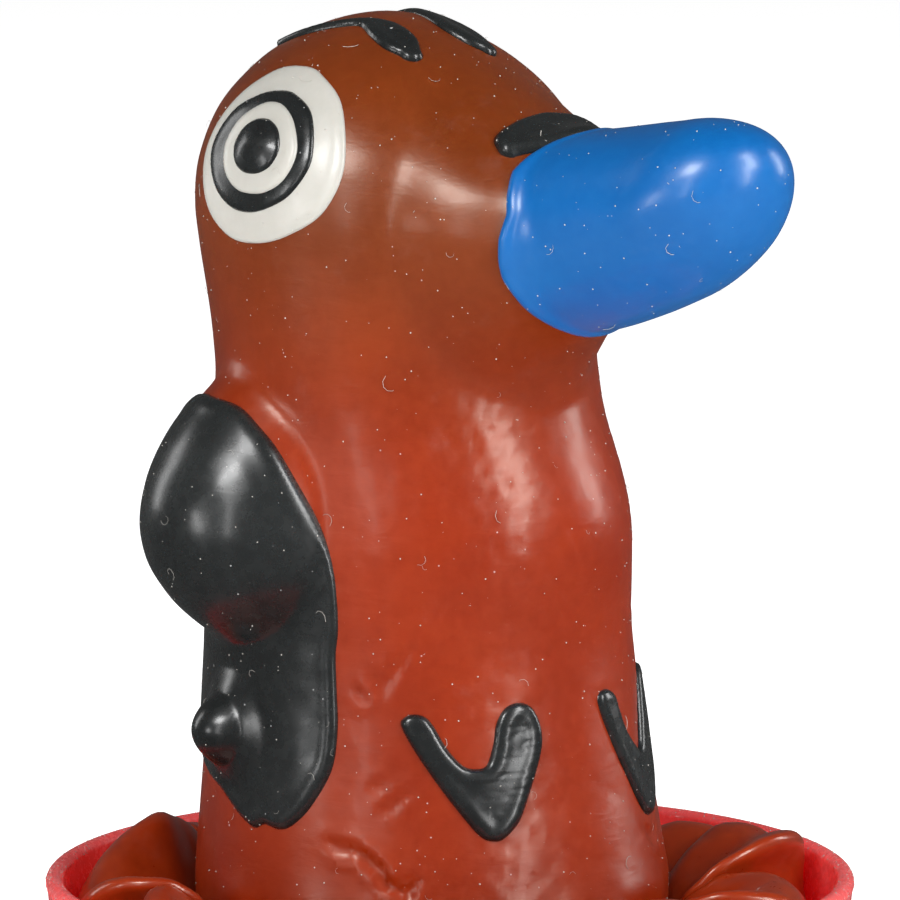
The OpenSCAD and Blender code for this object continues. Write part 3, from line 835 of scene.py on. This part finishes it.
# ---- Slack film --------------------------------------------------------------------------------
# The slack end of the figure is a thin brown film. It turns up outside the sheath's lower edge,
# bunches into folds in the cup's mouth, and hangs down the cup's wall to its rolled bead.

FILM = 0.45                                  # its thickness
BEAD_R, BEAD_Z = 18.0, 9.0 - LIP_Z
WALL_TOP, WALL_FALL = 28.7, 4.5 / 42         # the cup's inner radius at the lip, and its taper
WALL_GAP = 0.8                               # between the film and the cup's wall
DRAWN_IN = 0.95                              # how much further in it hangs below the folds
FOLD_FOOT = -6.0                             # where the folds end at the wall, from the lip
FOOT_H = BEAD_Z + 4.5                        # where it turns in towards the bead

# Folds: degrees and half-width at the crest, its height by the sheath and by the cup's wall, how
# far it runs round between them, and how far it leans over.
FOLDS = [
    (-153, 19, 9.4, 2.6, 16, 4),
    (-122, 8.5, 5.2, 4.6, -16, 11),
    (86, 13, 3.4, 4.4, -10, 0),
    (68, 7.5, 3.2, 5.0, 15, 3),
    (56, 10, 4.2, 6.6, 26, -13),
    (31, 9, 3.6, 4.2, -14, 3),
    (20, 6, 3.9, 4.2, 10, -8),
    (-100, 7, 4.4, 5.0, 12, -8),
    (-80, 9, 4.6, 5.4, -14, 11),
    (-58, 7, 4.2, 5.6, 16, -9),
    (-36, 9, 4.9, 4.6, -12, 10),
    (-14, 8, 4.2, 5.4, 12, 10),
    (4, 6, 4.6, 4.0, -8, -7),
    (112, 8, 5.2, 5.0, 14, 9),
    (134, 9, 5.6, 4.4, -16, -11),
    (158, 8, 4.8, 5.2, 12, 9),
    (180, 9, 5.4, 4.0, -12, 10),
]

# Hollows by the sheath: degrees, half-width, depth.
POCKETS = [(-160, 12, 4.5), (100, 16, 1.5), (-60, 14, 2.5)]
around, across = ((440, 44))
sheath_edge = -TUCK
columns = np.linspace(-180, 180, around, endpoint=False)
film_rows = []


def wrapped(angle):
    """The same angle from -180 to 180 degrees."""
    return (angle + 180) % 360 - 180


def film_row(a, r, h):
    """Points at these angles, radii and heights. Radii close to the sheath follow its axis."""
    a = np.radians(a)
    y0 = SET_BACK * np.clip((WALL_TOP - r) / (WALL_TOP - SHEATH_D / 2), 0, 1)
    return np.stack([r * np.sin(a), y0 - r * np.cos(a), np.broadcast_to(h, a.shape)], 1)


def sway(s):
    """How far the hanging film waves in and out, all the way round, s of the way down."""
    turn = np.radians(columns)
    return 0.55 * np.sin(turn * 7 + 3 * s) + 0.4 * np.sin(turn * 11 - 4 * s + 1)


# Up outside the sheath's lower edge.
by_sheath = SHEATH_D / 2 + 0.35
for h in np.linspace(sheath_edge - 0.3, -7.5, 5):
    film_rows.append(film_row(columns, by_sheath + 0.25 * np.sin(math.pi * (h - sheath_edge) / 4) ** 2, h))
# Over the folds in the cup's mouth, theta going from the sheath to the wall.
outermost = WALL_TOP - 0.75
for theta in np.linspace(0, math.pi, across):
    across_share = (1 - math.cos(theta)) / 2
    rise = np.zeros(around)
    lean = np.zeros(around)
    for middle, width, by_body, by_wall, skew, over in FOLDS:
        x = wrapped(columns - middle - skew * (across_share - 0.5)) / width
        crest = np.exp(-(x**2) * 1.1)
        rise = np.maximum(rise, mix(by_body, by_wall, across_share) * crest) + 0.15 * rise * crest
        lean = lean + over * crest**2
    for middle, width, depth in POCKETS:
        x = wrapped(columns - middle) / width
        rise = rise - depth * np.exp(-(x**2)) * math.exp(-(((across_share - 0.04) / 0.14) ** 2))
    radius = mix(by_sheath + 0.1, outermost, across_share)
    radius = radius + 0.5 * math.sin(theta) * (rise - 3) / 3
    low = mix(-7.0, FOLD_FOOT, across_share)
    height = low + (rise + 2.6) * math.sin(theta) ** 0.55
    swing = lean * math.sin(theta) ** 0.8
    film_rows.append(film_row(columns + swing, np.minimum(radius, outermost), height))
# Down the cup's wall.
for s in np.linspace(0, 1, 26)[1:]:
    h = mix(FOLD_FOOT, FOOT_H, s)
    wall_r = WALL_TOP + h * WALL_FALL - WALL_GAP
    film_rows.append(film_row(columns, wall_r - (DRAWN_IN + sway(s)) * ease(s / 0.15), h))
# In under the figure to the bead.
foot_r = WALL_TOP + FOOT_H * WALL_FALL - WALL_GAP - DRAWN_IN
for s in np.linspace(0, 1, 12)[1:]:
    bend = s * math.pi / 2
    radius = BEAD_R + (foot_r - BEAD_R) * math.cos(bend) ** 0.9 - sway(1) * (1 - s) ** 1.5
    film_rows.append(film_row(columns, radius, BEAD_Z + 0.7 + 3.8 * (1 - math.sin(bend))))
film_points = np.concatenate(film_rows)
crumple = lumps(film_points, 3.2, 31) * 0.28 + lumps(film_points * (1, 1, 0.6), 1.4, 32) * 0.1
row_share = np.repeat(np.linspace(0, 1, len(film_rows)), around)
crumple *= ease(row_share / 0.12) * ease((1 - row_share) / 0.1)
film_points[:, 2] += crumple
film_points[:, :2] *= (1 - 0.012 * np.abs(crumple))[:, None]
film_faces = ring_faces(len(film_rows), around)

slack_film = latex("slack_film", (0.34, 0.034, 0.004), (0.23, 0.018, 0.002), 0.3, 0.35, 0.4, True, 0.25)
film = put("slack_film", film_points, film_faces, slack_film)
outwards(film)
thickness = film.modifiers.new("thickness", "SOLIDIFY")
thickness.thickness = FILM * MM
thickness.offset = 0
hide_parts("skirt")
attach(film, "bird")

# ---- Rolled bead -------------------------------------------------------------------------------
# The open end of the latex is rolled up on itself into a ring, which stops it tearing. It hangs
# low in the cup, round the former's foot, and is a little uneven as rolled latex is.

ROUND_TUBE, ROUND_RING = 20, 220             # points round the bead's section, and round the ring
low, high = (Vector(corner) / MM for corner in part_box("rolled_bead"))
centre = (low + high) / 2
tube_r = (high.z - low.z) / 2
ring_r = (high.x - low.x) / 2 - tube_r
round_ring = np.linspace(0, 2 * math.pi, ROUND_RING, endpoint=False)
bead_rows = []
for turn in np.linspace(0, 2 * math.pi, ROUND_TUBE, endpoint=False):
    r = ring_r + 0.97 * tube_r * math.cos(turn)
    h = centre.z - LIP_Z + 0.97 * tube_r * math.sin(turn)
    bead_rows.append(
        np.stack([r * np.sin(round_ring), centre.y - r * np.cos(round_ring), np.full(ROUND_RING, h)], 1)
    )
bead_points = np.concatenate(bead_rows)
dents = 0.16 * np.abs(lumps(bead_points, 1.9, 41))[:, None]
bead_points -= dents * (bead_points - np.mean(bead_points, 0)) / ring_r
bead_faces = ring_faces(ROUND_TUBE + 1, ROUND_RING)
bead_faces = [[i % len(bead_points) for i in face] for face in bead_faces]
bead = put("rolled_end", bead_points, bead_faces, slack_film)
outwards(bead)
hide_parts("rolled_bead")
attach(bead, "bird")

# ---- Dust and lint -----------------------------------------------------------------------------
# Latex draws dust. Pale specks and short curled fibres lie all over the figure, and more of them
# on the cup's lip. They are scattered over the finished surfaces with a fixed seed.


def dust_tree(material):
    """A tree that scatters specks and curled fibres over whatever surface it is given."""
    tree = bpy.data.node_groups.new("settled_dust", "GeometryNodeTree")
    tree.interface.new_socket("Geometry", in_out="INPUT", socket_type="NodeSocketGeometry")
    sizes = (("Specks", 150000.0), ("Fibres", 20000.0), ("Speck Radius", 0.00006), ("Fibre Curl", 0.0005))
    for name, value in sizes:
        tree.interface.new_socket(name, in_out="INPUT", socket_type="NodeSocketFloat").default_value = value
    tree.interface.new_socket("Seed", in_out="INPUT", socket_type="NodeSocketInt").default_value = 7
    tree.interface.new_socket("Geometry", in_out="OUTPUT", socket_type="NodeSocketGeometry")
    given = tree.nodes.new("NodeGroupInput").outputs

    def add(kind, sockets, **settings):
        """Adds a node: its settings first, then its sockets. Returns its outputs."""
        made = tree.nodes.new(kind)
        for name, value in settings.items():
            setattr(made, name, value)
        for name, value in sockets.items():
            if isinstance(value, bpy.types.NodeSocket):
                tree.links.new(value, made.inputs[name])
            else:
                made.inputs[name].default_value = value
        return made.outputs

    def scatter(density, seed_shift, shape, small, large):
        """One shape all over the surface, in mixed sizes, lying at any angle."""
        seed = add("ShaderNodeMath", {0: given["Seed"], 1: float(seed_shift)})[0]
        surface = {"Mesh": given["Geometry"], "Density": density, "Seed": seed}
        spots = add("GeometryNodeDistributePointsOnFaces", surface)
        size = add("FunctionNodeRandomValue", {2: small, 3: large, "Seed": seed}, data_type="FLOAT")
        angles = {0: (0, 0, 0), 1: (0.35, 0.35, 2 * math.pi), "Seed": seed}
        spin = add("FunctionNodeRandomValue", angles, data_type="FLOAT_VECTOR")
        lay = {"Points": spots["Points"], "Instance": shape, "Rotation": spots["Rotation"], "Scale": size[1]}
        set_down = add("GeometryNodeInstanceOnPoints", lay)
        return add("GeometryNodeRotateInstances", {"Instances": set_down[0], "Rotation": spin[0]})[0]

    speck = add("GeometryNodeMeshIcoSphere", {"Radius": given["Speck Radius"], "Subdivisions": 1})
    thread = {"Resolution": 3, "Radius": 0.000026}
    profile = add("GeometryNodeCurvePrimitiveCircle", thread, mode="RADIUS")
    fibres = []
    for turns, rise in ((0.28, 0.0), (0.75, 0.0001)):
        bend = {"Start Radius": given["Fibre Curl"], "End Radius": 0.0009, "Height": rise}
        curl = add("GeometryNodeCurveSpiral", {"Resolution": 10, "Rotations": turns, **bend})
        tube = {"Curve": curl[0], "Profile Curve": profile[0], "Fill Caps": True}
        fibres.append(add("GeometryNodeCurveToMesh", tube)[0])
    joined = tree.nodes.new("GeometryNodeJoinGeometry")
    for branch in (
        scatter(given["Specks"], 0, speck[0], 0.2, 1.15),
        scatter(given["Fibres"], 1, fibres[0], 0.4, 1.2),
        scatter(given["Fibres"], 2, fibres[1], 0.25, 0.8),
    ):
        tree.links.new(branch, joined.inputs[0])
    real = add("GeometryNodeRealizeInstances", {0: joined.outputs[0]})
    done = add("GeometryNodeSetMaterial", {"Geometry": real[0], "Material": material})
    tree.links.new(done[0], tree.nodes.new("NodeGroupOutput").inputs[0])
    return tree


def surface_copy(name, pieces, keep):
    """One bare surface from several pieces, with only the faces that keep says."""
    joined = bmesh.new()
    for piece in pieces:
        joined.from_mesh(piece.data)
    bmesh.ops.remove_doubles(joined, verts=joined.verts[:], dist=1e-7)
    bmesh.ops.delete(joined, geom=[f for f in joined.faces if not keep(f)], context="FACES")
    mesh = bpy.data.meshes.new(name)
    joined.to_mesh(mesh)
    joined.free()
    obj = bpy.data.objects.new(name, mesh)
    bpy.context.scene.collection.objects.link(obj)
    return obj


def settle_dust(obj, tree, body, slot, **amounts):
    """Replaces a surface with the dust on it. Specks and fibres are so many to a square metre."""
    settled_on = obj.modifiers.new("dust", "NODES")
    settled_on.node_group = tree
    for item in tree.interface.items_tree:
        name = item.name.lower()
        if item.in_out == "INPUT" and name in amounts:
            settled_on[item.identifier] = amounts[name]
    settled(obj)
    obj.data.shade_smooth()
    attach(obj, body)


dust_grey = Finish("pale_dust", IOR=1.4)
dust_grey.set("Base Color", dust_grey.noise(0.8, 1).tint((0.3, 0.27, 0.24), (0.62, 0.6, 0.56)))
dust_grey.set("Roughness", 0.85)
tree = dust_tree(dust_grey.material)
coats = [piece for piece in bpy.data.objects if piece.name.endswith("_coat")]
bird_bed = surface_copy("lint_on_bird", [sheath, film] + coats, lambda face: True)
settle_dust(bird_bed, tree, "bird", "white_latex", specks=170000.0, fibres=14000.0, seed=11)
lip_from = (LIP_Z - 1.2) * MM
lip_bed = surface_copy(
    "lint_on_lip", [frame["nodes"]["cup"]], lambda face: face.calc_center_median().z > lip_from
)
settle_dust(lip_bed, tree, "stand", "white_latex", specks=1500000.0, fibres=20000.0, seed=5)

# ---- Stage -------------------------------------------------------------------------------------
# A plain pale floor under soft studio light: a softbox high on each side, strips for the narrow
# highlights and the edges, and a large fill that no surface mirrors.

VIEW_ANGLE, VIEW_RISE, VIEW_PITCH = -47.0, 11.5, 8.524
VIEW_AWAY = 0.6                              # metres from the camera to the middle of the cup's lip
FLOOR_HALF = 4000.0
scene = bpy.context.scene
scene.view_settings.view_transform = "Standard"

paper = Finish("pale_paper", IOR=1.3, Emission_Color=(1, 1, 1, 1), Emission_Strength=0.8)
paper.set("Base Color", paper.noise(0.01, 1).tint((0.86, 0.86, 0.86), (0.9, 0.9, 0.9)))
paper.set("Roughness", 0.9)
floor_corners = [(x * FLOOR_HALF, y * FLOOR_HALF, -LIP_Z) for x, y in ((-1, -1), (1, -1), (1, 1), (-1, 1))]
floor = put("floor", floor_corners, [(0, 1, 2, 3)], paper)
floor.visible_glossy = False

world = bpy.data.worlds.new("studio")
world.use_nodes = True
sky = world.node_tree.nodes["Background"].inputs
sky["Color"].default_value = (1, 1, 1, 1)
sky["Strength"].default_value = 0.08
scene.world = world


def softbox(name, angle, elevation, distance, size, power, glossy=True):
    """A rectangular light aimed at the figure. Its angle is measured round from the camera."""
    data = bpy.data.lights.new(name, "AREA")
    data.shape = "RECTANGLE"
    data.size, data.size_y = size
    data.energy = power
    lamp = bpy.data.objects.new(name, data)
    a, e = math.radians(VIEW_ANGLE + angle), math.radians(elevation)
    way = Vector((math.sin(a) * math.cos(e), -math.cos(a) * math.cos(e), math.sin(e)))
    lamp.visible_glossy = glossy
    lamp.location = way * distance + Vector((0, 0, 0.07))
    lamp.rotation_mode = "QUATERNION"
    lamp.rotation_quaternion = way.to_track_quat("Z", "Y")
    scene.collection.objects.link(lamp)


softbox("softbox_left", -38, 42, 0.9, (0.24, 0.24), 4.2)
softbox("softbox_right", 56, 36, 0.9, (0.2, 0.5), 4.6)
softbox("strip_left", -31, 15, 0.9, (0.1, 0.44), 0.8)
softbox("strip_low", -58, 9, 0.9, (0.14, 0.18), 0.8)
softbox("strip_right", 47, 15, 0.9, (0.1, 0.44), 1.9)
softbox("edge_left", -118, 16, 0.8, (0.16, 0.4), 0.8)
softbox("edge_right", 112, 16, 0.8, (0.16, 0.4), 1.5)
softbox("fill", 5, 30, 1.6, (1.6, 1.2), 8.0, glossy=False)

camera_data = bpy.data.cameras.new("camera")
camera_data.sensor_width = 36
camera_data.lens = 322.8
camera_data.clip_start, camera_data.clip_end = 0.01, 50
camera = bpy.data.objects.new("camera", camera_data)
scene.collection.objects.link(camera)
turn_z, rise, pitch = (math.radians(angle) for angle in (VIEW_ANGLE, VIEW_RISE, VIEW_PITCH))
camera.location = (
    VIEW_AWAY * math.sin(turn_z) * math.cos(rise),
    -VIEW_AWAY * math.cos(turn_z) * math.cos(rise),
    VIEW_AWAY * math.sin(rise) + LIP_Z * MM,
)
camera.rotation_euler = (math.pi / 2 - pitch, 0, turn_z)
scene.camera = camera
